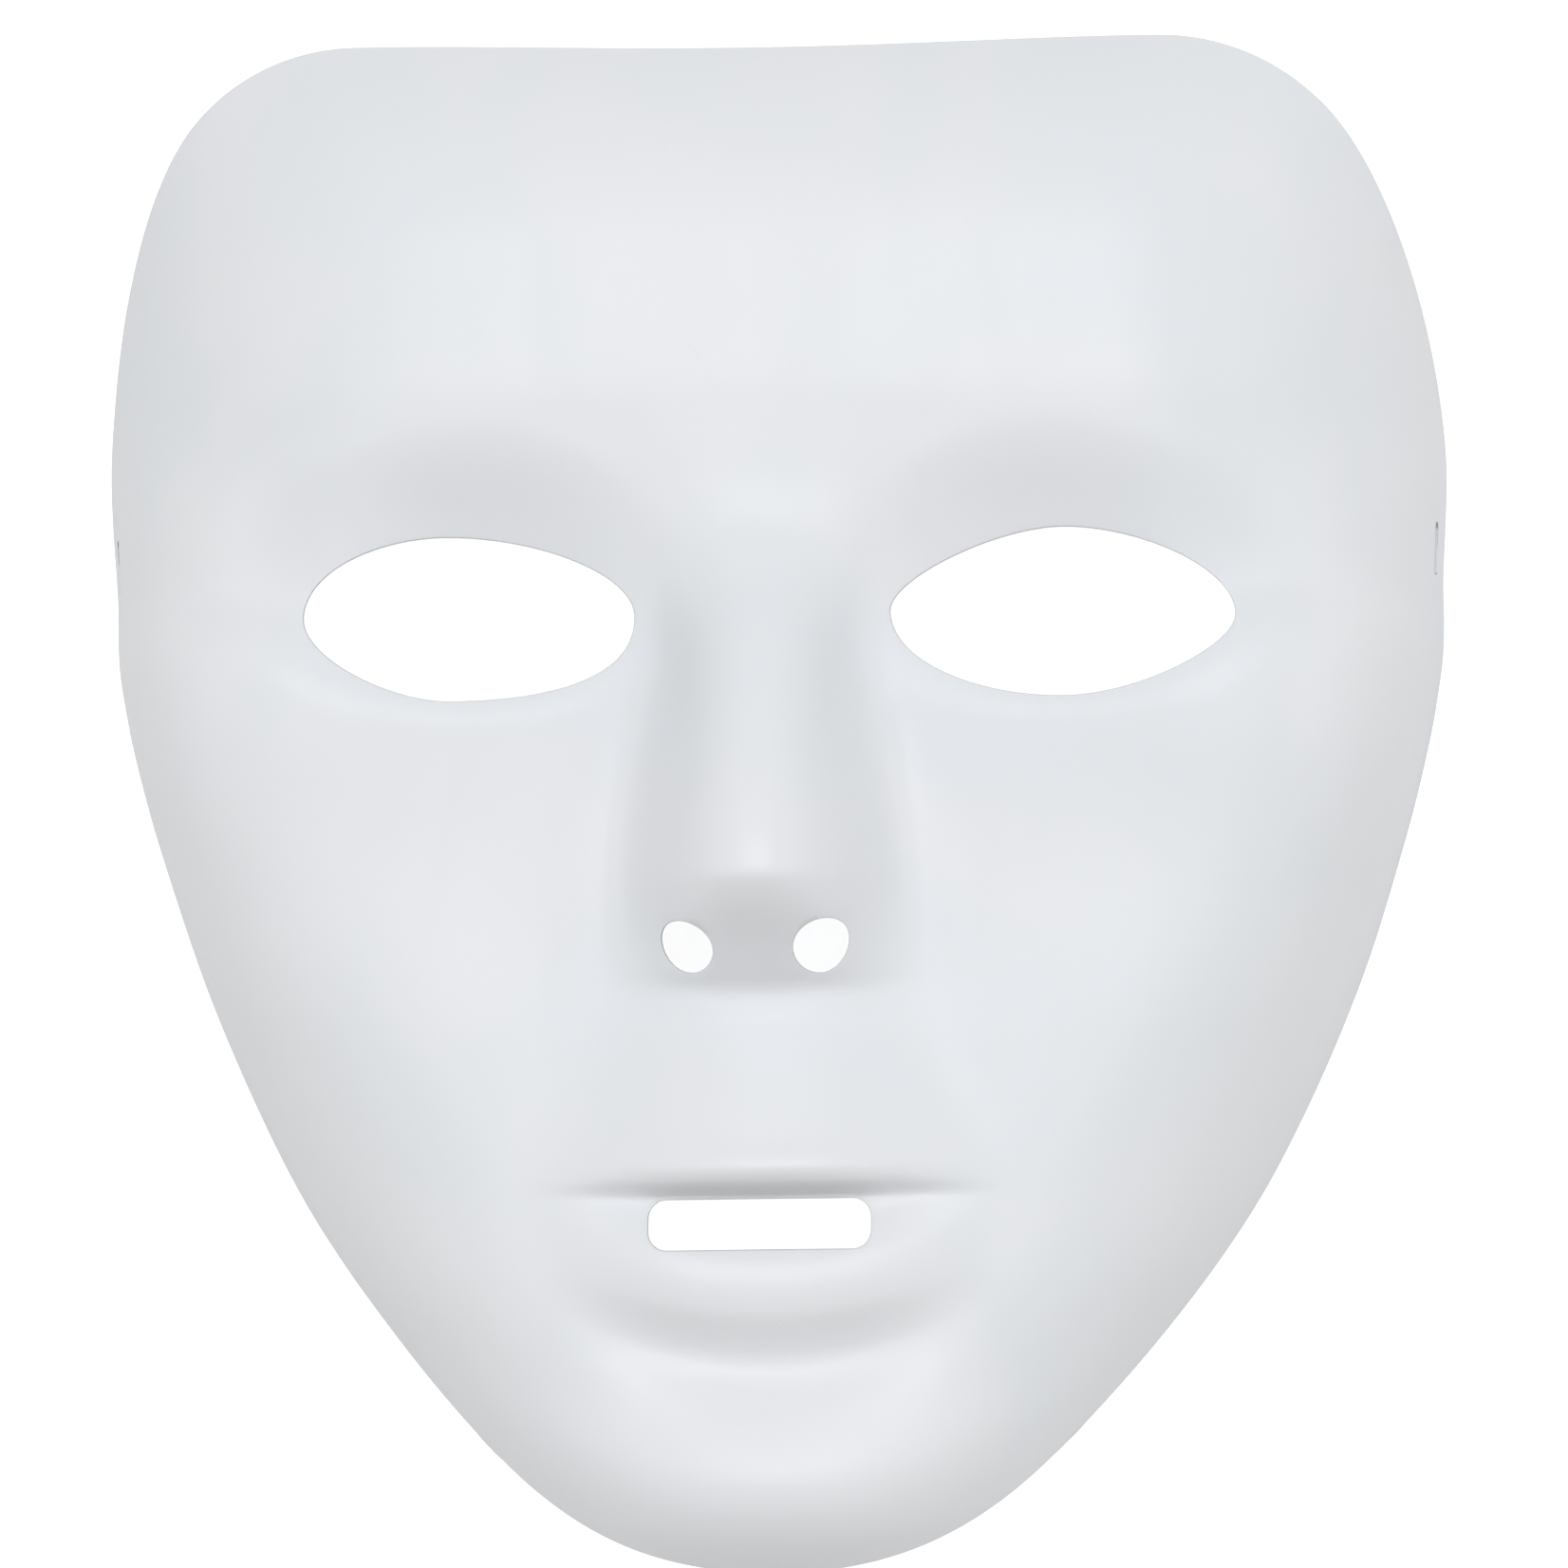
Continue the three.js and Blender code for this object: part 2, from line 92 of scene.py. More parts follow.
CHIN_ROLL = {"curl": 0.0062, "from_y": -50, "to_y": -80}

# Features of the face

# Each turn of an eye hole has the shares of its height and width that its handles reach,
# from its corner and from its highest or lowest point.
EYE_LEFT = {
    "inner": (16.0, 24.7), "outer": (58.7, 25.1), "top": (40.5, 35.2), "bottom": (39.6, 14.2),
    "inner_top": (0.53, 0.47), "outer_top": (0.57, 0.48),
    "outer_bottom": (0.46, 0.42), "inner_bottom": (0.79, 0.49),
}
EYE_RIGHT = {
    "inner": (16.8, 25.0), "outer": (61.0, 24.0), "top": (38.9, 35.5), "bottom": (38.9, 13.9),
    "inner_top": (0.38, 0.39), "outer_top": (0.53, 0.42),
    "outer_bottom": (0.39, 0.44), "inner_bottom": (0.6, 0.48),
}
SOCKET = {
    "x": 37, "y": 27, "depth": 6.6, "inner": 28, "outer": 33, "above": 23.5, "below": 16, "power": 1.9,
}
TEMPLE_FOLD = {"y": 29, "depth": 4.1, "above": 16, "below": 5.5, "from_x": 52, "to_x": 66}
CHEEKBONE = {"x": 62, "y": 14, "height": 2, "half_width": 24, "half_height": 17}
TEMPLE_DENT = {"x": 74, "y": 47, "height": -1.0, "half_width": 9, "half_height": 11}
TEMPLE_BAND = {"from_x": 57, "soft": 3, "slope": 0.2, "from_y": 34, "to_y": 56}
CHIN = {"x": 0, "y": -86, "height": 3.6, "half_width": 22, "half_height": 11}
NOSE_HEIGHT = [
    (52, 0), (44, 0.6), (38, 1.8), (32, 4.6), (22, 11.1), (7, 19.4), (-1, 22.9), (-5, 24), (-8, 24.2),
    (-10.6, 22.2), (-16, 14), (-20.5, 6), (-23.4, 1.2), (-26.8, 0),
]
NOSE_HALF_WIDTH = [
    (46, 20), (32, 16.4), (22, 16.2), (12, 18.4), (0, 20.6), (-10, 21.6), (-20, 22.2), (-28, 21.6),
]
NOSE_FLATNESS = 2.6
NOSTRIL = {
    "shift": -0.8, "x": 8.7, "y": -17.5, "half_width": 3.1, "half_height": 3.8, "lean": 0.8, "egg": 0.12,
}
NOSTRIL_LEFT_SCALE = 0.97
NOSTRIL_RIGHT_SCALE = 1.02
UPPER_LIP_HEIGHT = [
    (-17, 0), (-25, 2.8), (-34, 5.2), (-42, 7.6), (-45.8, 9), (-47.6, 7.6), (-49.8, 0.6), (-52.5, 0),
]
UPPER_LIP_HALF = [(-18, 24), (-28, 26.5), (-44, 33), (-54, 34)]
UPPER_LIP_FLATNESS = 2.4
LOWER_LIP_HEIGHT = [
    (-49.6, 0), (-52.6, 0.6), (-56.1, 2.8), (-58.8, 4.2), (-60.6, 4.4), (-64.4, 3.8), (-67.8, 2.1),
    (-70.8, 0.7), (-74, 0),
]
LOWER_LIP = {"half": 31, "curl": 0.0085, "fades_from": 0.3}
CHIN_FOLD = {"y": -71.2, "depth": 2.1, "half": 4.4, "curl": 0.0119, "from_x": 6, "to_x": 31}
MOUTH = {"x": -0.9, "y": -53.3, "half_width": 14.3, "half_height": 3.2, "corner": 2.4}
STRAP_SLOT = {"y": 32.6, "z": 6.5, "length": 6.6, "width": 2, "corner": 0.6}
STRAP_LAND = {"length": 15, "width": 8, "cut": 0.25, "flat_share": 0.8}
# The side edges come down to the table in a curve that starts this high above it.
LANDING = 1.1

# How finely the shell is divided. A crowding says how much more, and over what half
# width.
COLUMNS_HALF = 92
ROWS = 190
COLUMN_DENSITY = 0.8
MIDDLE_CROWDING = (0.5, 0.3)
EDGE_CROWDING = (2.0, 0.07)
RELAX_NEAR = 8
RELAX_FAR = 22
RELAX_TURNS = 80
OUTLINE_STEPS = 24
EDGE_STEPS = 200
SHARE_STEPS = 400
SLOPE_STEP = 0.2
BRIDGE_DROP = 2
BRIDGE_CUTS = 3
ROW_CROWDING = [(-56, 1.6, 16), (-16, 0.7, 14), (36, 0.5, 14), (72, -0.3, 18)]
TOP_BLEND_TO_Y = 72
CHIN_BLEND_FROM_Y = -64

# The place where the side wall has a given height is searched for this far in from the
# outline, by halving.
CUT_REACH = 4
WALL_REACH = 12
HALVINGS = 40

# The windows that are deleted around the holes clear them by this much, along X and Y.
EYE_MARGIN = (2.6, 2.6)
NOSTRIL_MARGIN = (2.2, 2.2)
MOUTH_MARGIN = (2.4, 1.8)

SLOT_PUNCH_DEPTH = 6
SLOT_CORNER_STEPS = 4
EDGE_ROUNDING_STEPS = 2
EDGE_ANGLE = math.radians(40)

# Up to the first of these distances from the edge of a hole of the face, the wall's inner
# skin lies straight below the outer one. From the second on, it follows the surface.
PUNCH_BLEND = (2, 6)

# The sheet is smoothed in plan around the holes, up to this far from their edges.
EVEN_OUT_TO = 13
EVEN_OUT_TURNS = 60
EVEN_OUT_SHARE = 0.5
NEARNESS_STEPS = 90

# The plastic's finishes. Patterns read places in metres, so a scale is about one
# over the size of a patch, and depths are in metres too.
MOULDED_INPUTS = {"Cloud Scale": 26.0, "Grain Scale": 2400.0, "Grain Depth": 1.2e-5, "Wave Depth": 8e-5}
PATTERNS = {
    "clouds": {"Detail": 2, "Roughness": 0.45, "Distortion": 0.4},
    "flow": {"Detail": 3, "Roughness": 0.55, "Distortion": 0.8},
    "scuffs": {"Detail": 2, "Roughness": 0.7},
    "patches": {"Detail": 1},
    "grain": {"Detail": 3, "Roughness": 0.6},
    "waves": {"Detail": 1},
    "cut_lines": {"Detail": 2, "Roughness": 0.6},
}
SOFT_RANGE = (0.3, 0.7)
FLOW_STRETCH = (1.0, 0.22, 1.0)
FLOW_SCALE = 90
WAVE_SCALE = 75
SCUFF_LENGTHS = (1.0, 30.0, 1.0)
SCUFF_TURN = (0.0, 0.0, 0.6)
SCUFF_SCALE = 900
SCUFF_RANGE = (0.68, 0.76)
SCUFF_PATCH_SCALE = 28
SCUFF_PATCH_RANGE = (0.5, 0.7)
SCUFF_COLOR = (0.97, 0.97, 0.97)
SCUFF_DULLS = 0.08
CUT_STRETCH = (0.15, 0.15, 1.0)
CUT_SCALE = 3500
CUT_DEPTH = 3e-5
PLASTIC_IOR = 1.49
FINISHES = {
    "white_plastic_face": {
        "colors": ((0.782, 0.802, 0.833), (0.812, 0.817, 0.843)),
        "roughness": (0.44, 0.49),
        "surface": {"Cloud Scale": 26.0, "Grain Scale": 2400.0, "Grain Depth": 1.0e-5, "Wave Depth": 6e-5},
        "cut": False,
    },
    "white_plastic_back": {
        "colors": ((0.74, 0.76, 0.785), (0.785, 0.795, 0.815)),
        "roughness": (0.55, 0.68),
        "surface": {"Cloud Scale": 34.0, "Grain Scale": 1500.0, "Grain Depth": 2.6e-5, "Wave Depth": 1.2e-4},
        "cut": False,
    },
    "white_plastic_trim": {
        "colors": ((0.8, 0.81, 0.83), (0.84, 0.845, 0.855)),
        "roughness": (0.5, 0.6),
        "surface": {"Cloud Scale": 60.0, "Grain Scale": 3000.0, "Grain Depth": 1.5e-5, "Wave Depth": 0.0},
        "cut": True,
    },
}

# The camera looks down on the face, from a little to the right of it
CAMERA = {
    "target": (0.25, 3, 0), "distance": 2000, "yaw": 2.8, "roll": 0.8, "view_width": 206.5, "sensor": 36,
}
FLOOR_SIZE = 14
FLOOR_TONE = 0.9
FLOOR_ROUGHNESS = 0.9
# The floor's own light keeps its soft shadows nearly white.
FLOOR_GLOW = 0.72

# Soft light from all round, and large softboxes in front, above and at both sides. A
# level is the tone that a light alone gives to white facing it.
ROOM_LIGHT = {"color": (1, 0.98, 0.945), "level": 0.496}
SOFTBOXES = {
    "front_softbox": {"place": (0.1, 0.5, 2.6), "size": 1.4, "level": 0.43, "color": (0.93, 0.965, 1)},
    "top_softbox": {"place": (0, 2.0, 0.9), "size": 1.2, "level": 0.013, "color": (0.95, 0.98, 1)},
    "left_softbox": {"place": (-2.0, 0.2, 0.9), "size": 1.4, "level": 0.126, "color": (0.95, 0.98, 1)},
    "right_softbox": {"place": (2.0, 0.2, 0.9), "size": 1.4, "level": 0.14, "color": (0.95, 0.98, 1)},
}


def smooth(low, high, value):
    share = np.clip((value - low) / (high - low), 0, 1)
    return share * share * (3 - 2 * share)


def bell(value):
    return np.exp(-value * value)


def stations(points):
    """A smooth curve through (y, value) stations that doesn't overshoot them."""
    ys, values = np.array(sorted(points), float).T
    step = np.diff(ys)
    rise = np.diff(values) / step
    slope = np.zeros(len(ys))
    slope[0], slope[-1] = rise[0], rise[-1]
    for i in range(1, len(ys) - 1):
        if rise[i - 1] * rise[i] > 0:
            before = 2 * step[i] + step[i - 1]
            after = step[i] + 2 * step[i - 1]
            slope[i] = (before + after) / (before / rise[i - 1] + after / rise[i])

    def curve(y):
        at = np.clip(y, ys[0], ys[-1])
        i = np.clip(np.searchsorted(ys, at, side="right") - 1, 0, len(step) - 1)
        h = step[i]
        t = (at - ys[i]) / h
        u = 1 - t
        return (
            (1 + 2 * t) * u * u * values[i]
            + t * u * u * h * slope[i]
            + t * t * (3 - 2 * t) * values[i + 1]
            - t * t * u * h * slope[i + 1]
        )

    return curve


midline_height = stations(MIDLINE_HEIGHT)
side_half_width = stations(SIDE_HALF_WIDTH)
side_height = stations(SIDE_HEIGHT)
dome_flatness = stations(DOME_FLATNESS)
nose_height = stations(NOSE_HEIGHT)
nose_half_width = stations(NOSE_HALF_WIDTH)
upper_lip_height = stations(UPPER_LIP_HEIGHT)
upper_lip_half = stations(UPPER_LIP_HALF)
lower_lip_height = stations(LOWER_LIP_HEIGHT)


def dome(x, y):
    power = dome_flatness(y)

    def fall(across):
        return 1 - (1 - across**power) ** (1 / DOME_FULLNESS)

    share = fall(np.minimum(DOME_TRIM * x / side_half_width(y), DOME_LIMIT)) / fall(DOME_TRIM)
    curled = CHIN_ROLL["curl"] * x * x * smooth(CHIN_ROLL["from_y"], CHIN_ROLL["to_y"], y)
    middle = midline_height(y - curled)
    return middle + (side_height(y) - middle) * share


def eye_socket(x, y):
    half_width = np.where(x < SOCKET["x"], SOCKET["inner"], SOCKET["outer"])
    half_height = np.where(y > SOCKET["y"], SOCKET["above"], SOCKET["below"])
    away = ((x - SOCKET["x"]) / half_width) ** 2 + ((y - SOCKET["y"]) / half_height) ** 2
    return -SOCKET["depth"] * np.clip(1 - away, 0, 1) ** SOCKET["power"]


def temple_fold(x, y):
    half = np.where(y > TEMPLE_FOLD["y"], TEMPLE_FOLD["above"], TEMPLE_FOLD["below"])
    fade = smooth(TEMPLE_FOLD["from_x"], TEMPLE_FOLD["to_x"], x)
    return -TEMPLE_FOLD["depth"] * bell((y - TEMPLE_FOLD["y"]) / half) * fade


def temple_band(x, y):
    """The sides of the forehead turn back from its flat front."""
    past = (x - TEMPLE_BAND["from_x"]) / TEMPLE_BAND["soft"]
    fade = smooth(TEMPLE_BAND["from_y"], TEMPLE_BAND["to_y"], y)
    return -TEMPLE_BAND["slope"] * TEMPLE_BAND["soft"] * np.logaddexp(0, past) * fade


def swelling(form, x, y):
    across = (x - form["x"]) / form["half_width"]
    along = (y - form["y"]) / form["half_height"]
    return form["height"] * np.exp(-(across**2) - along**2)


def rounded_off(share, flatness):
    """Falls from 1 at the middle of a form to 0 at its foot, without a crease there."""
    return (1 - np.clip(share, 0, 1) ** flatness) ** 3


def nose(x, y):
    return nose_height(y) * rounded_off(x / nose_half_width(y), NOSE_FLATNESS)


def upper_lip(x, y):
    return upper_lip_height(y) * rounded_off(x / upper_lip_half(y), UPPER_LIP_FLATNESS)


def lower_lip(x, y):
    level = y - LOWER_LIP["curl"] * x * x
    return lower_lip_height(level) * (1 - smooth(LOWER_LIP["fades_from"], 1, x / LOWER_LIP["half"]))


def chin_fold(x, y):
    level = y - CHIN_FOLD["curl"] * x * x
    fade = 1 - smooth(CHIN_FOLD["from_x"], CHIN_FOLD["to_x"], x)
    return -CHIN_FOLD["depth"] * bell((level - CHIN_FOLD["y"]) / CHIN_FOLD["half"]) * fade


def surface_height(signed_x, y):
    """Height of the outer surface over a place in plan."""
    x = np.abs(signed_x)
    return (
        dome(x, y)
        + eye_socket(x, y)
        + temple_fold(x, y)
        + temple_band(x, y)
        + swelling(CHEEKBONE, x, y)
        + swelling(TEMPLE_DENT, x, y)
        + nose(x, y)
        + upper_lip(x, y)
        + lower_lip(x, y)
        + chin_fold(x, y)
        + swelling(CHIN, x, y)
    )


def slopes(x, y):
    """How steeply the outer surface climbs along X and along Y."""
    d = SLOPE_STEP
    along_x = (surface_height(x + d, y) - surface_height(x - d, y)) / (2 * d)
    along_y = (surface_height(x, y + d) - surface_height(x, y - d)) / (2 * d)
    return along_x, along_y


def surface_normal(x, y):
    along_x, along_y = slopes(x, y)
    return Vector((-along_x, -along_y, 1)).normalized()


def bezier(points, t):
    a, b, c, d = (np.array(p, float) for p in points)
    t = np.asarray(t)[..., None]
    u = 1 - t
    return u**3 * a + 3 * u * u * t * b + 3 * u * t * t * c + t**3 * d


def spread(stretches, density=np.ones_like):
    """Points of a curve, as a function of the share of its own weighted length."""
    fine = np.linspace(0, 1, EDGE_STEPS)
    points = np.concatenate([bezier(s, fine[:-1]) for s in stretches] + [[stretches[-1][-1]]])
    middle = (points[1:, 1] + points[:-1, 1]) / 2
    length = np.linalg.norm(np.diff(points, axis=0), axis=1) * density(middle)
    along = np.concatenate([[0], np.cumsum(length)]) / length.sum()
    return lambda share: np.stack([np.interp(share, along, points[:, k]) for k in (0, 1)], -1)


def row_density(y):
    return 1 + sum(more * bell((y - at) / half) for at, more, half in ROW_CROWDING)


def crowded(share):
    """Columns lie closer together at the middle of the face and towards its edge."""
    fine = np.linspace(0, 1, SHARE_STEPS)
    middle_more, middle_half = MIDDLE_CROWDING
    edge_more, edge_half = EDGE_CROWDING
    density = COLUMN_DENSITY + middle_more * bell(fine / middle_half)
    density = density + edge_more * bell((1 - fine) / edge_half)
    along = np.concatenate([[0], np.cumsum((density[1:] + density[:-1]) / 2)])
    return np.interp(share * along[-1], along, fine)


def landed(height):
    """The height of an edge that comes down to the table without a corner."""
    near = np.clip(height, -LANDING, LANDING) + LANDING
    return np.where(height > LANDING, height, near * near / (4 * LANDING))


def cut_at_rest(side):
    """Draws the side outline in to where the surface has the height of the edge."""
    edge = landed(surface_height(*side.T))
    outer = side[:, 0].copy()
    inner = outer - CUT_REACH
    for _ in range(HALVINGS):
        middle = (outer + inner) / 2
        below = surface_height(middle, side[:, 1]) < edge
        outer = np.where(below, middle, outer)
        inner = np.where(below, inner, middle)
    under = surface_height(*side.T) < edge
    return np.stack([np.where(under, outer, side[:, 0]), side[:, 1]], -1)


def plan_points():
    """The shell's grid in plan, as rows of (x, y) from the chin to the forehead."""
    share = np.linspace(0, 1, ROWS + 1)[::-1]
    side = cut_at_rest(spread(SIDE_EDGE, row_density)(share))
    column = np.arange(-COLUMNS_HALF, COLUMNS_HALF + 1) / COLUMNS_HALF
    t = crowded(np.abs(column))
    top = spread(TOP_EDGE)(t)
    chin = spread(CHIN_EDGE)(t)
    to_top = smooth(TOP_BLEND_TO_Y, TOP_CORNER[1], side[:, 1])[:, None]
    to_chin = smooth(CHIN_BLEND_FROM_Y, CHIN_CORNER[1], side[:, 1])[:, None]
    x = side[:, :1] * t + to_top * (top[:, 0] - TOP_CORNER[0] * t)
    x = x + to_chin * (chin[:, 0] - CHIN_CORNER[0] * t)
    y = side[:, 1:] + to_top * (top[:, 1] - TOP_CORNER[1]) + to_chin * (chin[:, 1] - CHIN_CORNER[1])
    return relaxed(np.stack([np.sign(column) * x, y], -1))


def relaxed(grid):
    """Evens out the squeezed cells near the four corners of the grid."""
    corners = [grid[r, c] for r in (0, -1) for c in (0, -1)]
    away = np.min([np.linalg.norm(grid - corner, axis=-1) for corner in corners], axis=0)
    share = (1 - smooth(RELAX_NEAR, RELAX_FAR, away))[1:-1, 1:-1, None]
    for _ in range(RELAX_TURNS):
        mean = (grid[:-2, 1:-1] + grid[2:, 1:-1] + grid[1:-1, :-2] + grid[1:-1, 2:]) / 4
        grid[1:-1, 1:-1] += share * (mean - grid[1:-1, 1:-1])
    return grid


def eye_outline(side):
    """The trimmed edge of an eye hole: four turns between its corners and its highest and
    lowest points."""
    eye = EYE_RIGHT if side > 0 else EYE_LEFT
    turns = []
    for corner, peak in (("inner", "top"), ("outer", "top"), ("outer", "bottom"), ("inner", "bottom")):
        end, flat = eye[corner], eye[peak]
        rise, run = eye[f"{corner}_{peak}"]
        handles = [end, (end[0], end[1] + rise * (flat[1] - end[1]))]
        handles += [(flat[0] + run * (end[0] - flat[0]), flat[1]), flat]
        turns.append(bezier(handles, np.linspace(0, 1, OUTLINE_STEPS)))
    inner_top, outer_top, outer_bottom, inner_bottom = turns
    loop = np.concatenate([inner_top, outer_top[::-1], outer_bottom, inner_bottom[::-1]])
    return loop * (side, 1)


def nostril_outline(side):
    """A nostril hole, an egg that leans out from the middle of the nose."""
    scale = NOSTRIL_RIGHT_SCALE if side > 0 else NOSTRIL_LEFT_SCALE
    angle = np.linspace(0, 2 * math.pi, 4 * OUTLINE_STEPS, endpoint=False)
    along = scale * NOSTRIL["half_height"] * np.sin(angle)
    across = scale * NOSTRIL["half_width"] * np.cos(angle) * (1 - NOSTRIL["egg"] * np.sin(angle))
    lean = side * NOSTRIL["lean"]
    x = NOSTRIL["shift"] + side * NOSTRIL["x"] + across * math.cos(lean) + along * math.sin(lean)
    y = NOSTRIL["y"] - across * math.sin(lean) + along * math.cos(lean)
    return np.stack([x, y], -1)


def mouth_outline():
    """The mouth slot, a bar with rounded corners."""
    turn = np.linspace(0, math.pi / 2, OUTLINE_STEPS)
    radius = MOUTH["corner"]
    reach_x, reach_y = MOUTH["half_width"] - radius, MOUTH["half_height"] - radius
    loop = []
    for quarter, (sx, sy) in enumerate([(1, 1), (-1, 1), (-1, -1), (1, -1)]):
        angle = turn + quarter * math.pi / 2
        centre = (MOUTH["x"] + sx * reach_x, MOUTH["y"] + sy * reach_y)
        loop.append(np.stack([np.cos(angle), np.sin(angle)], -1) * radius + centre)
    return np.concatenate(loop)


def wall_x(y, z):
    """How far out the side wall stands at a height, on the right side."""
    outer = np.full_like(np.asarray(y, float), HALF_WIDTH)
    inner = outer - WALL_REACH
    for _ in range(HALVINGS):
        middle = (outer + inner) / 2
        below = surface_height(middle, y) < z
        outer = np.where(below, middle, outer)
        inner = np.where(below, inner, middle)
    return inner


def strap_land():
    """Centre and directions of the flat around the right strap slot: out, along and up the wall."""
    x = float(wall_x(STRAP_SLOT["y"], STRAP_SLOT["z"]))
    out = surface_normal(x, STRAP_SLOT["y"])
    up = out.cross(Vector((0, 1, 0))).normalized()
    up = up if up.z > 0 else -up
    along = up.cross(out).normalized()
    along = along if along.y > 0 else -along
    return Vector((x, STRAP_SLOT["y"], STRAP_SLOT["z"])), out, along, up


def evenly(loop, count, start):
    """Points evenly along a closed outline, anticlockwise from the one nearest to start."""
    area = np.sum(loop[:, 0] * np.roll(loop[:, 1], -1) - np.roll(loop[:, 0], -1) * loop[:, 1])
    loop = loop if area > 0 else loop[::-1]
    closed = np.concatenate([loop, loop[:1]])
    along = np.concatenate([[0], np.cumsum(np.linalg.norm(np.diff(closed, axis=0), axis=1))])
    nearest = along[np.argmin(np.linalg.norm(loop - start, axis=1))]
    at = (nearest + along[-1] * np.arange(count) / count) % along[-1]
    return np.stack([np.interp(at, along, closed[:, k]) for k in (0, 1)], -1)


def window_of(grid, outline, margin):
    """Lowest and highest row and column of the grid that clear a hole by a margin."""
    low, high = outline.min(0) - margin, outline.max(0) + margin
    inside = np.all((grid > low) & (grid < high), axis=-1)
    rows, columns = np.where(inside)
    return rows.min() - 1, rows.max() + 1, columns.min() - 1, columns.max() + 1


def ring_of(window):
    """The grid corners around a window, anticlockwise from its lower left."""
    row_from, row_to, column_from, column_to = window
    ring = [(row_from, c) for c in range(column_from, column_to)]
    ring += [(r, column_to) for r in range(row_from, row_to)]
    ring += [(row_to, c) for c in range(column_to, column_from, -1)]
    return ring + [(r, column_from) for r in range(row_to, row_from, -1)]


def lay_grid(grid):
    """A flat grid with its corners moved to their places in plan."""
    rows, columns = grid.shape[:2]
    bpy.ops.mesh.primitive_grid_add(x_subdivisions=columns - 1, y_subdivisions=rows - 1, size=2)
    shell = bpy.context.object
    shell.name = shell.data.name = "mask_shell"
    place = read_points(shell)
    column = np.rint((place[:, 0] + 1) / 2 * (columns - 1)).astype(int)
    row = np.rint((place[:, 1] + 1) / 2 * (rows - 1)).astype(int)
    place[:, :2] = grid[row, column]
    write_points(shell, place)
    return shell, row, column


def read_points(shell):
    flat = np.empty(3 * len(shell.data.vertices))
    shell.data.vertices.foreach_get("co", flat)
    return flat.reshape(-1, 3)


def write_points(shell, place):
    shell.data.vertices.foreach_set("co", place.ravel())
    shell.data.update()


def take_out_windows(shell, row, column, windows):
    """Deletes the faces of each window, and marks its edge with the window's number."""
    bpy.ops.object.mode_set(mode="EDIT")
    bpy.ops.mesh.select_mode(type="FACE")
    bpy.ops.mesh.select_all(action="DESELECT")
    mesh = bmesh.from_edit_mesh(shell.data)
    mark = mesh.verts.layers.int.new("window")
    mesh.verts.ensure_lookup_table()
    for number, window in enumerate(windows, 1):
        row_from, row_to, column_from, column_to = window
        inside = (row >= row_from) & (row <= row_to) & (column >= column_from) & (column <= column_to)
        for i in np.flatnonzero(inside):
            mesh.verts[i][mark] = number
    for face in mesh.faces:
        numbers = {v[mark] for v in face.verts}
        face.select_set(len(numbers) == 1 and 0 not in numbers)
    bmesh.update_edit_mesh(shell.data)
    bpy.ops.mesh.delete(type="FACE")
    bpy.ops.object.mode_set(mode="OBJECT")


def open_edge(edge):
    return edge.is_wire or edge.is_boundary


def bridge_to(shell, number, points):
    """A circle drawn out to the hole's outline, bridged to the edge of its window."""
    bpy.ops.object.mode_set(mode="EDIT")
    bpy.ops.mesh.select_mode(type="VERT")
    bpy.ops.mesh.select_all(action="DESELECT")
    bpy.ops.mesh.primitive_circle_add(vertices=len(points), radius=1)
    mesh = bmesh.from_edit_mesh(shell.data)
    mark = mesh.verts.layers.int["window"]
    circle = sorted((v for v in mesh.verts if v.select), key=lambda v: math.atan2(v.co.y, v.co.x))
    for vertex, (x, y) in zip(circle, points):
        vertex.co = (x, y, -BRIDGE_DROP)
        vertex[mark] = -number
    bpy.ops.mesh.select_all(action="DESELECT")
    bpy.ops.mesh.select_mode(type="EDGE")
    mesh = bmesh.from_edit_mesh(shell.data)
    mark = mesh.verts.layers.int["window"]
    for edge in mesh.edges:
        marks = {v[mark] for v in edge.verts}
        edge.select_set(open_edge(edge) and (marks == {number} or marks == {-number}))
    bmesh.update_edit_mesh(shell.data)
    bpy.ops.mesh.bridge_edge_loops(number_cuts=BRIDGE_CUTS, interpolation="LINEAR")
    bpy.ops.object.mode_set(mode="OBJECT")


def even_out(shell, outlines):
    """Smooths the sheet in plan around its holes, whose edges stay."""
    place = read_points(shell)
    near = nearness(place, outlines) < EVEN_OUT_TO
    bpy.ops.object.mode_set(mode="EDIT")
    bpy.ops.mesh.select_mode(type="VERT")
    bpy.ops.mesh.select_all(action="DESELECT")
    mesh = bmesh.from_edit_mesh(shell.data)
    for vertex in mesh.verts:
        vertex.co.z = 0
        vertex.select_set(bool(near[vertex.index]) and not vertex.is_boundary)
    mesh.select_flush_mode()
    bmesh.update_edit_mesh(shell.data)
    bpy.ops.mesh.vertices_smooth(factor=EVEN_OUT_SHARE, repeat=EVEN_OUT_TURNS)
    bpy.ops.object.mode_set(mode="OBJECT")


def nearness(place, outlines):
    """How far each point is, in plan, from the nearest of the outlines."""
    away = np.full(len(place), np.inf)
    for outline in outlines:
        for point in evenly(outline, NEARNESS_STEPS, outline[0]):
            away = np.minimum(away, np.hypot(*(place[:, :2] - point).T))
    return away


def lift(shell):
    """Raises the flat sheet to the surface of the face."""
    place = read_points(shell)
    place[:, 2] = surface_height(place[:, 0], place[:, 1])
    write_points(shell, place)


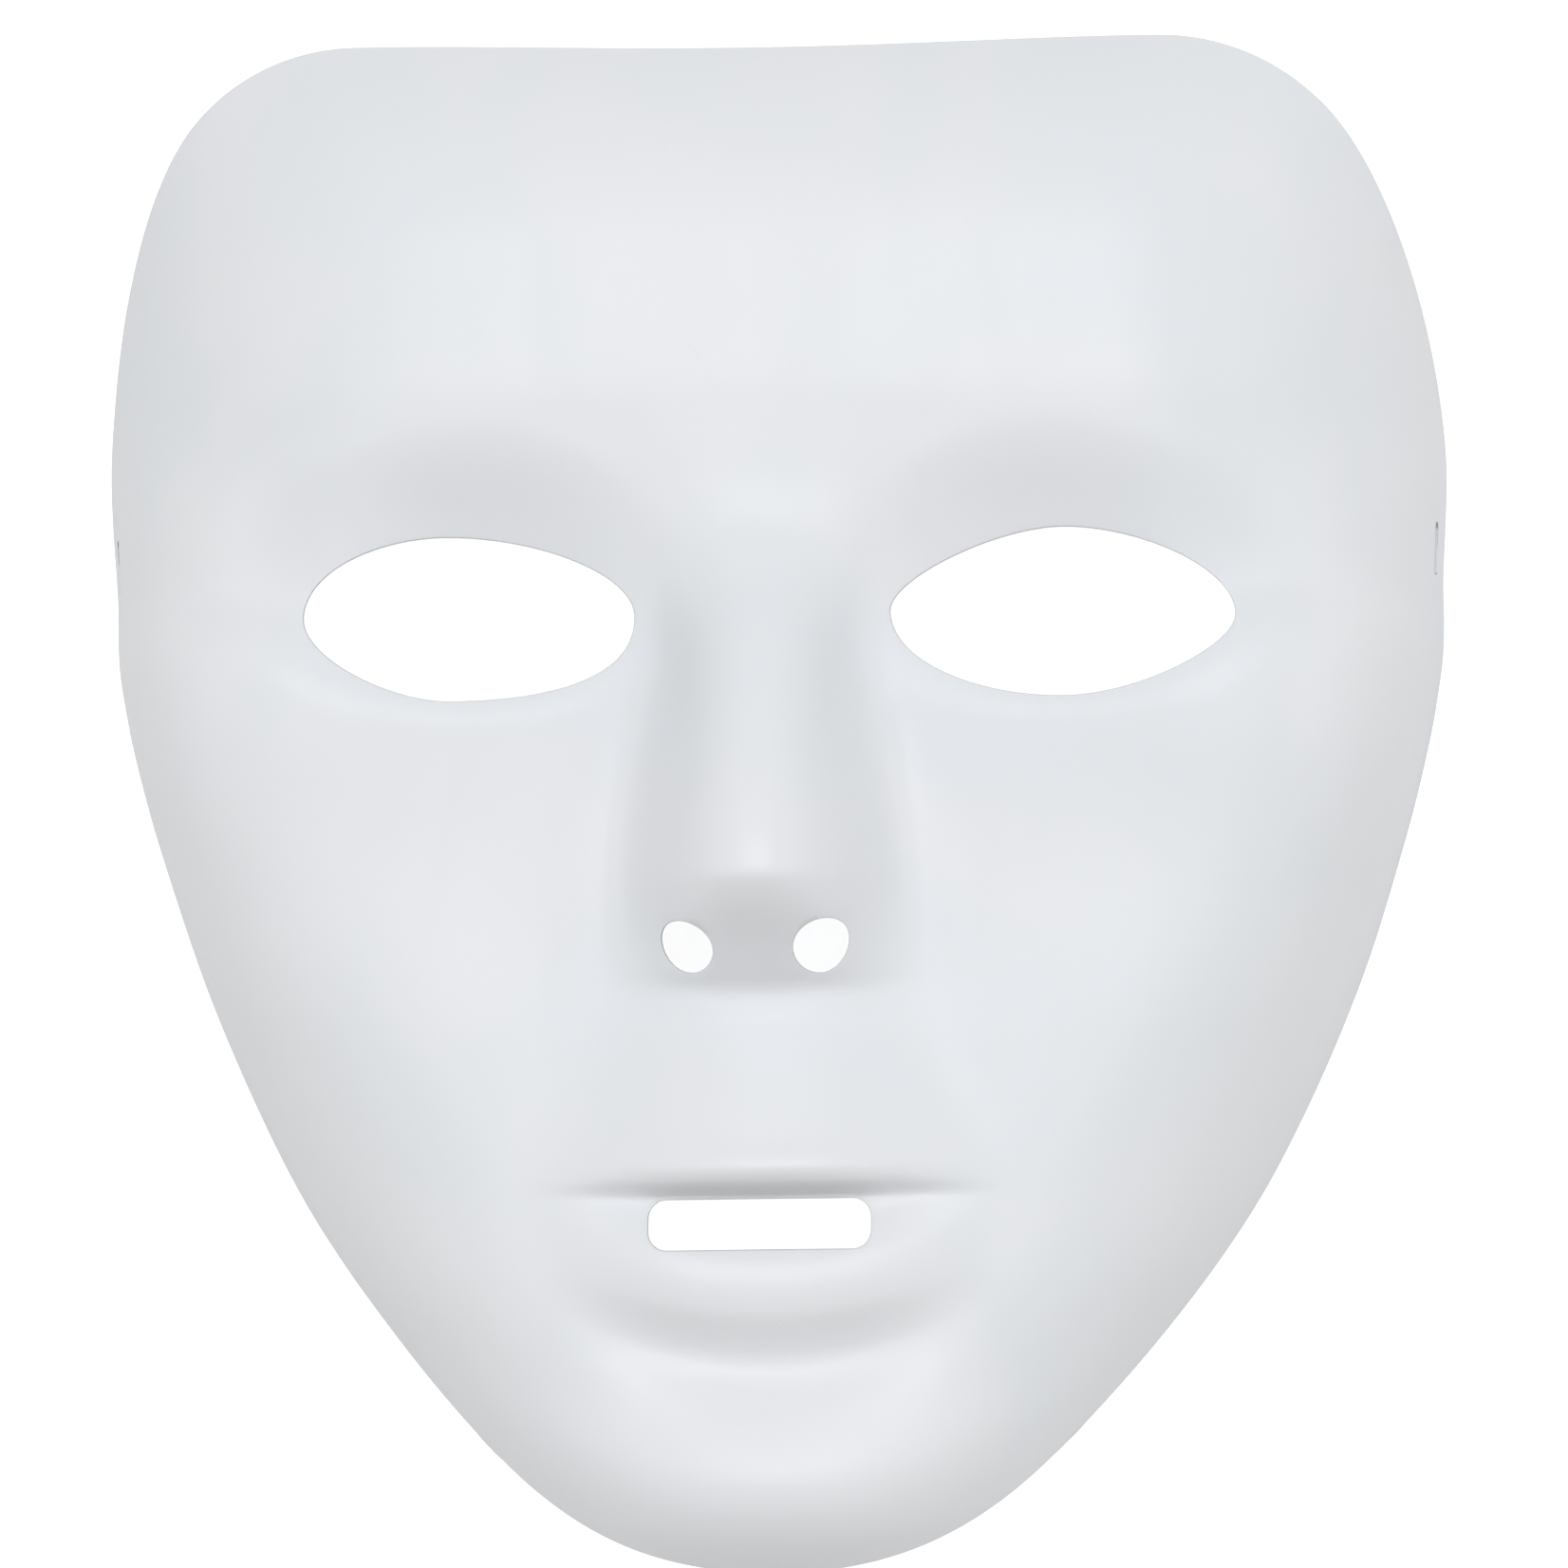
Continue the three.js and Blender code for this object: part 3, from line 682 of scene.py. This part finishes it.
def press_strap_lands(shell):
    """Flattens the side wall around the strap slots."""
    place = read_points(shell)
    centre, out, along, up = (np.array(v) for v in strap_land())
    for side in (-1, 1):
        mirror = np.array([side, 1, 1])
        away = place * mirror - centre
        inside = 1 - smooth(STRAP_LAND["flat_share"], 1, np.abs(away @ along) / (STRAP_LAND["length"] / 2))
        inside *= 1 - smooth(STRAP_LAND["flat_share"], 1, np.abs(away @ up) / (STRAP_LAND["width"] / 2))
        inside *= np.abs(away @ out) < STRAP_LAND["width"]
        proud = np.maximum(away @ out + STRAP_LAND["cut"], 0) * inside
        place = place - (proud[:, None] * out) * mirror
    write_points(shell, place)


def cut_strap_slot(shell, side):
    """A rounded punch is taken out of the side wall."""
    centre, out, along, up = strap_land()
    bpy.ops.mesh.primitive_cube_add(size=1)
    punch = bpy.context.object
    size = Matrix.Diagonal((SLOT_PUNCH_DEPTH, STRAP_SLOT["length"], STRAP_SLOT["width"])) * MM
    punch.data.transform(size.to_4x4())
    corners = {"width": STRAP_SLOT["corner"] * MM, "segments": SLOT_CORNER_STEPS}
    weigh_long_edges(punch)
    apply_modifier(punch, "BEVEL", limit_method="WEIGHT", use_clamp_overlap=False, **corners)
    turn = Matrix((out, along, up)).transposed().to_4x4()
    mirror = Matrix.Diagonal((side, 1, 1, 1))
    punch.data.transform(mirror @ Matrix.Translation(centre * MM) @ turn)
    if (mirror @ turn).determinant() < 0:
        punch.data.flip_normals()
    shell.select_set(True)
    bpy.context.view_layer.objects.active = shell
    apply_modifier(shell, "BOOLEAN", object=punch, operation="DIFFERENCE", solver="EXACT")
    bpy.data.objects.remove(punch, do_unlink=True)


def weigh_long_edges(punch):
    """Marks the four edges along the punch's own X, which its bevel rounds."""
    weight = punch.data.attributes.new("bevel_weight_edge", "FLOAT", "EDGE")
    for edge in punch.data.edges:
        a, b = (punch.data.vertices[i].co for i in edge.vertices)
        weight.data[edge.index].value = float(abs(a.x - b.x) > SLOT_PUNCH_DEPTH * MM / 2)


def apply_modifier(shell, kind, **settings):
    bpy.ops.object.modifier_add(type=kind)
    modifier = shell.modifiers[-1]
    for name, value in settings.items():
        setattr(modifier, name, value)
    bpy.ops.object.modifier_apply(modifier=modifier.name)


def square_the_holes(shell, outlines):
    """The holes of the face are punched straight through, towards the wearer."""
    place = read_points(shell) / MM
    outer, inner = np.split(place, 2)
    share = (1 - smooth(*PUNCH_BLEND, nearness(outer, outlines)))[:, None]
    along_x, along_y = slopes(outer[:, 0], outer[:, 1])
    below = outer.copy()
    below[:, 2] -= WALL * np.sqrt(1 + along_x**2 + along_y**2)
    inner = inner + share * (below - inner)
    write_points(shell, np.concatenate([outer, inner]) * MM)


def mask_shell():
    bpy.ops.object.select_all(action="DESELECT")
    grid = plan_points()
    shell, row, column = lay_grid(grid)
    holes = [(eye_outline(side), EYE_MARGIN) for side in (-1, 1)]
    holes += [(nostril_outline(side), NOSTRIL_MARGIN) for side in (-1, 1)]
    holes += [(mouth_outline(), MOUTH_MARGIN)]
    outlines = [outline for outline, _ in holes]
    windows = [window_of(grid, outline, margin) for outline, margin in holes]
    take_out_windows(shell, row, column, windows)
    for number, (outline, window) in enumerate(zip(outlines, windows), 1):
        ring = [grid[r, c] for r, c in ring_of(window)]
        bridge_to(shell, number, evenly(outline, len(ring), ring[0]))
    even_out(shell, outlines)
    lift(shell)
    press_strap_lands(shell)
    write_points(shell, read_points(shell) * MM)
    wall = {"thickness": WALL * MM, "offset": -1, "use_even_offset": True, "use_quality_normals": True}
    apply_modifier(shell, "SOLIDIFY", material_offset=1, material_offset_rim=2, **wall)
    square_the_holes(shell, outlines)
    place = read_points(shell)
    place[:, 2] = np.maximum(place[:, 2], 0)
    write_points(shell, place)
    for side in (-1, 1):
        cut_strap_slot(shell, side)
    rounding = {"width": EDGE_ROUNDING * MM, "segments": EDGE_ROUNDING_STEPS, "use_clamp_overlap": False}
    apply_modifier(shell, "BEVEL", limit_method="ANGLE", angle_limit=EDGE_ANGLE, **rounding)
    bpy.ops.object.shade_smooth_by_angle(angle=EDGE_ANGLE)
    apply_modifier(shell, "WEIGHTED_NORMAL", keep_sharp=True)
    return shell


def add_node(tree, kind, **settings):
    node = tree.nodes.new(kind)
    for name, value in settings.items():
        if name in node.inputs:
            node.inputs[name].default_value = value
        else:
            setattr(node, name, value)
    return node


def noise(tree, place, scale, pattern):
    """One of the noise patterns, which reads a place in metres."""
    texture = add_node(tree, "ShaderNodeTexNoise", **PATTERNS[pattern])
    tree.links.new(place, texture.inputs["Vector"])
    if isinstance(scale, (int, float)):
        texture.inputs["Scale"].default_value = scale
    else:
        tree.links.new(scale, texture.inputs["Scale"])
    return texture.outputs["Fac"]


def between(tree, mask, span, to_span=(0, 1)):
    """A mask's span between two values, stretched to lie between two others."""
    stretch = add_node(tree, "ShaderNodeMapRange", interpolation_type="SMOOTHSTEP")
    stretch.inputs["From Min"].default_value = span[0]
    stretch.inputs["From Max"].default_value = span[1]
    stretch.inputs["To Min"].default_value = to_span[0]
    stretch.inputs["To Max"].default_value = to_span[1]
    tree.links.new(mask, stretch.inputs["Value"])
    return stretch.outputs["Result"]


def bump(tree, height, depth, normal=None):
    """A normal raised by a height mask, to a depth in metres."""
    raised = add_node(tree, "ShaderNodeBump", Strength=1.0)
    tree.links.new(height, raised.inputs["Height"])
    if isinstance(depth, (int, float)):
        raised.inputs["Distance"].default_value = depth
    else:
        tree.links.new(depth, raised.inputs["Distance"])
    if normal is not None:
        tree.links.new(normal, raised.inputs["Normal"])
    return raised.outputs["Normal"]


def moulded_surface():
    """What the moulding leaves all over the plastic: faint clouds and flow lines, a slight
    waviness, fine grain, and the hairline scuffs of handling."""
    group = bpy.data.node_groups.new("moulded_surface", "ShaderNodeTree")
    for name, value in MOULDED_INPUTS.items():
        socket = group.interface.new_socket(name, in_out="INPUT", socket_type="NodeSocketFloat")
        socket.default_value = value
    for name in ("Clouds", "Flow", "Scuffs"):
        group.interface.new_socket(name, in_out="OUTPUT", socket_type="NodeSocketFloat")
    group.interface.new_socket("Normal", in_out="OUTPUT", socket_type="NodeSocketVector")
    given = group.nodes.new("NodeGroupInput").outputs
    made = group.nodes.new("NodeGroupOutput").inputs
    place = group.nodes.new("ShaderNodeTexCoord").outputs["Object"]

    drawn = add_node(group, "ShaderNodeMapping", Scale=FLOW_STRETCH)
    group.links.new(place, drawn.inputs["Vector"])
    scraped = add_node(group, "ShaderNodeMapping", vector_type="TEXTURE", Scale=SCUFF_LENGTHS)
    scraped.inputs["Rotation"].default_value = SCUFF_TURN
    group.links.new(place, scraped.inputs["Vector"])

    clouds = noise(group, place, given["Cloud Scale"], "clouds")
    flow = noise(group, drawn.outputs["Vector"], FLOW_SCALE, "flow")
    scuffs = noise(group, scraped.outputs["Vector"], SCUFF_SCALE, "scuffs")
    patches = noise(group, place, SCUFF_PATCH_SCALE, "patches")
    grain = noise(group, place, given["Grain Scale"], "grain")
    waves = noise(group, place, WAVE_SCALE, "waves")

    hairlines = between(group, scuffs, SCUFF_RANGE)
    handled = between(group, patches, SCUFF_PATCH_RANGE)
    worn = add_node(group, "ShaderNodeMath", operation="MULTIPLY")
    group.links.new(hairlines, worn.inputs[0])
    group.links.new(handled, worn.inputs[1])

    wavy = bump(group, waves, given["Wave Depth"])
    grained = bump(group, grain, given["Grain Depth"], wavy)
    group.links.new(between(group, clouds, SOFT_RANGE), made["Clouds"])
    group.links.new(between(group, flow, SOFT_RANGE), made["Flow"])
    group.links.new(worn.outputs["Value"], made["Scuffs"])
    group.links.new(grained, made["Normal"])
    return group


def shaded(tree, mask, low, high):
    """A colour between two, by a mask."""
    ramp = tree.nodes.new("ShaderNodeValToRGB")
    ramp.color_ramp.elements[0].color = (*low, 1)
    ramp.color_ramp.elements[1].color = (*high, 1)
    tree.links.new(mask, ramp.inputs["Fac"])
    return ramp.outputs["Color"]


def moulded_plastic(name, surface, finish):
    """White plastic as it leaves the mould, with the values of one of its finishes."""
    material = bpy.data.materials.new(name)
    material.use_nodes = True
    tree = material.node_tree
    shader = tree.nodes["Principled BSDF"]
    shader.inputs["IOR"].default_value = PLASTIC_IOR
    moulded = tree.nodes.new("ShaderNodeGroup")
    moulded.node_tree = surface
    for socket, value in finish["surface"].items():
        moulded.inputs[socket].default_value = value

    clouded = shaded(tree, moulded.outputs["Clouds"], *finish["colors"])
    scuffed = add_node(tree, "ShaderNodeMix", data_type="RGBA", blend_type="MULTIPLY")
    scuffed.inputs["B"].default_value = (*SCUFF_COLOR, 1)
    tree.links.new(moulded.outputs["Scuffs"], scuffed.inputs["Factor"])
    tree.links.new(clouded, scuffed.inputs["A"])
    tree.links.new(scuffed.outputs["Result"], shader.inputs["Base Color"])

    sheen = between(tree, moulded.outputs["Flow"], (0, 1), finish["roughness"])
    dulled = add_node(tree, "ShaderNodeMath", operation="MULTIPLY_ADD")
    dulled.inputs[1].default_value = SCUFF_DULLS
    tree.links.new(moulded.outputs["Scuffs"], dulled.inputs[0])
    tree.links.new(sheen, dulled.inputs[2])
    tree.links.new(dulled.outputs["Value"], shader.inputs["Roughness"])
    normal = moulded.outputs["Normal"]
    if finish["cut"]:
        normal = bump(tree, cut_lines(tree), CUT_DEPTH, normal)
    tree.links.new(normal, shader.inputs["Normal"])
    return material


def cut_lines(tree):
    """The fine lines that trimming leaves along a cut edge."""
    place = tree.nodes.new("ShaderNodeTexCoord").outputs["Object"]
    drawn = add_node(tree, "ShaderNodeMapping", Scale=CUT_STRETCH)
    tree.links.new(place, drawn.inputs["Vector"])
    return noise(tree, drawn.outputs["Vector"], CUT_SCALE, "cut_lines")


def floor():
    """A plain white sheet, whose glow only the camera sees."""
    bpy.ops.object.select_all(action="DESELECT")
    bpy.ops.mesh.primitive_plane_add(size=FLOOR_SIZE)
    sheet = bpy.context.object
    sheet.name = "floor"
    material = bpy.data.materials.new("floor_white")
    material.use_nodes = True
    tree = material.node_tree
    shader = tree.nodes["Principled BSDF"]
    shader.inputs["Base Color"].default_value = (FLOOR_TONE, FLOOR_TONE, FLOOR_TONE, 1)
    shader.inputs["Roughness"].default_value = FLOOR_ROUGHNESS
    shader.inputs["Emission Color"].default_value = (1, 1, 1, 1)
    rays = tree.nodes.new("ShaderNodeLightPath")
    seen = add_node(tree, "ShaderNodeMath", operation="MULTIPLY")
    seen.inputs[1].default_value = FLOOR_GLOW
    tree.links.new(rays.outputs["Is Camera Ray"], seen.inputs[0])
    tree.links.new(seen.outputs["Value"], shader.inputs["Emission Strength"])
    sheet.data.materials.append(material)


def softbox(name, place, size, level, color):
    bpy.ops.object.light_add(type="AREA", location=place)
    lamp = bpy.context.object
    lamp.name = name
    lamp.data.shape = "SQUARE"
    lamp.data.size = size
    lamp.data.energy = level * math.pi**2 * Vector(place).length_squared
    lamp.data.color = color
    lamp.rotation_euler = (-Vector(place)).to_track_quat("-Z", "Y").to_euler()


def camera():
    bpy.ops.object.camera_add()
    eye = bpy.context.object
    yaw = math.radians(CAMERA["yaw"])
    target = Vector(CAMERA["target"]) * MM
    back = Vector((math.sin(yaw), 0, math.cos(yaw)))
    roll = math.radians(CAMERA["roll"])
    right = Vector((math.sin(roll), math.cos(roll), 0)).cross(back).normalized()
    up = back.cross(right)
    place = target + CAMERA["distance"] * MM * back
    eye.matrix_world = Matrix((
        (right.x, up.x, back.x, place.x),
        (right.y, up.y, back.y, place.y),
        (right.z, up.z, back.z, place.z),
        (0, 0, 0, 1),
    ))
    eye.data.sensor_width = CAMERA["sensor"]
    eye.data.lens = CAMERA["sensor"] * CAMERA["distance"] / CAMERA["view_width"]
    bpy.context.scene.camera = eye


def light_the_scene():
    world = bpy.context.scene.world or bpy.data.worlds.new("studio")
    bpy.context.scene.world = world
    world.use_nodes = True
    sky = world.node_tree.nodes["Background"]
    sky.inputs["Color"].default_value = (*ROOM_LIGHT["color"], 1)
    sky.inputs["Strength"].default_value = ROOM_LIGHT["level"]
    for name, settings in SOFTBOXES.items():
        softbox(name, **settings)
    bpy.context.scene.view_settings.view_transform = "Standard"


shell = mask_shell()
surface = moulded_surface()
for name, finish in FINISHES.items():
    shell.data.materials.append(moulded_plastic(name, surface, finish))
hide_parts("mask")
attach(shell, "root")
floor()
light_the_scene()
camera()
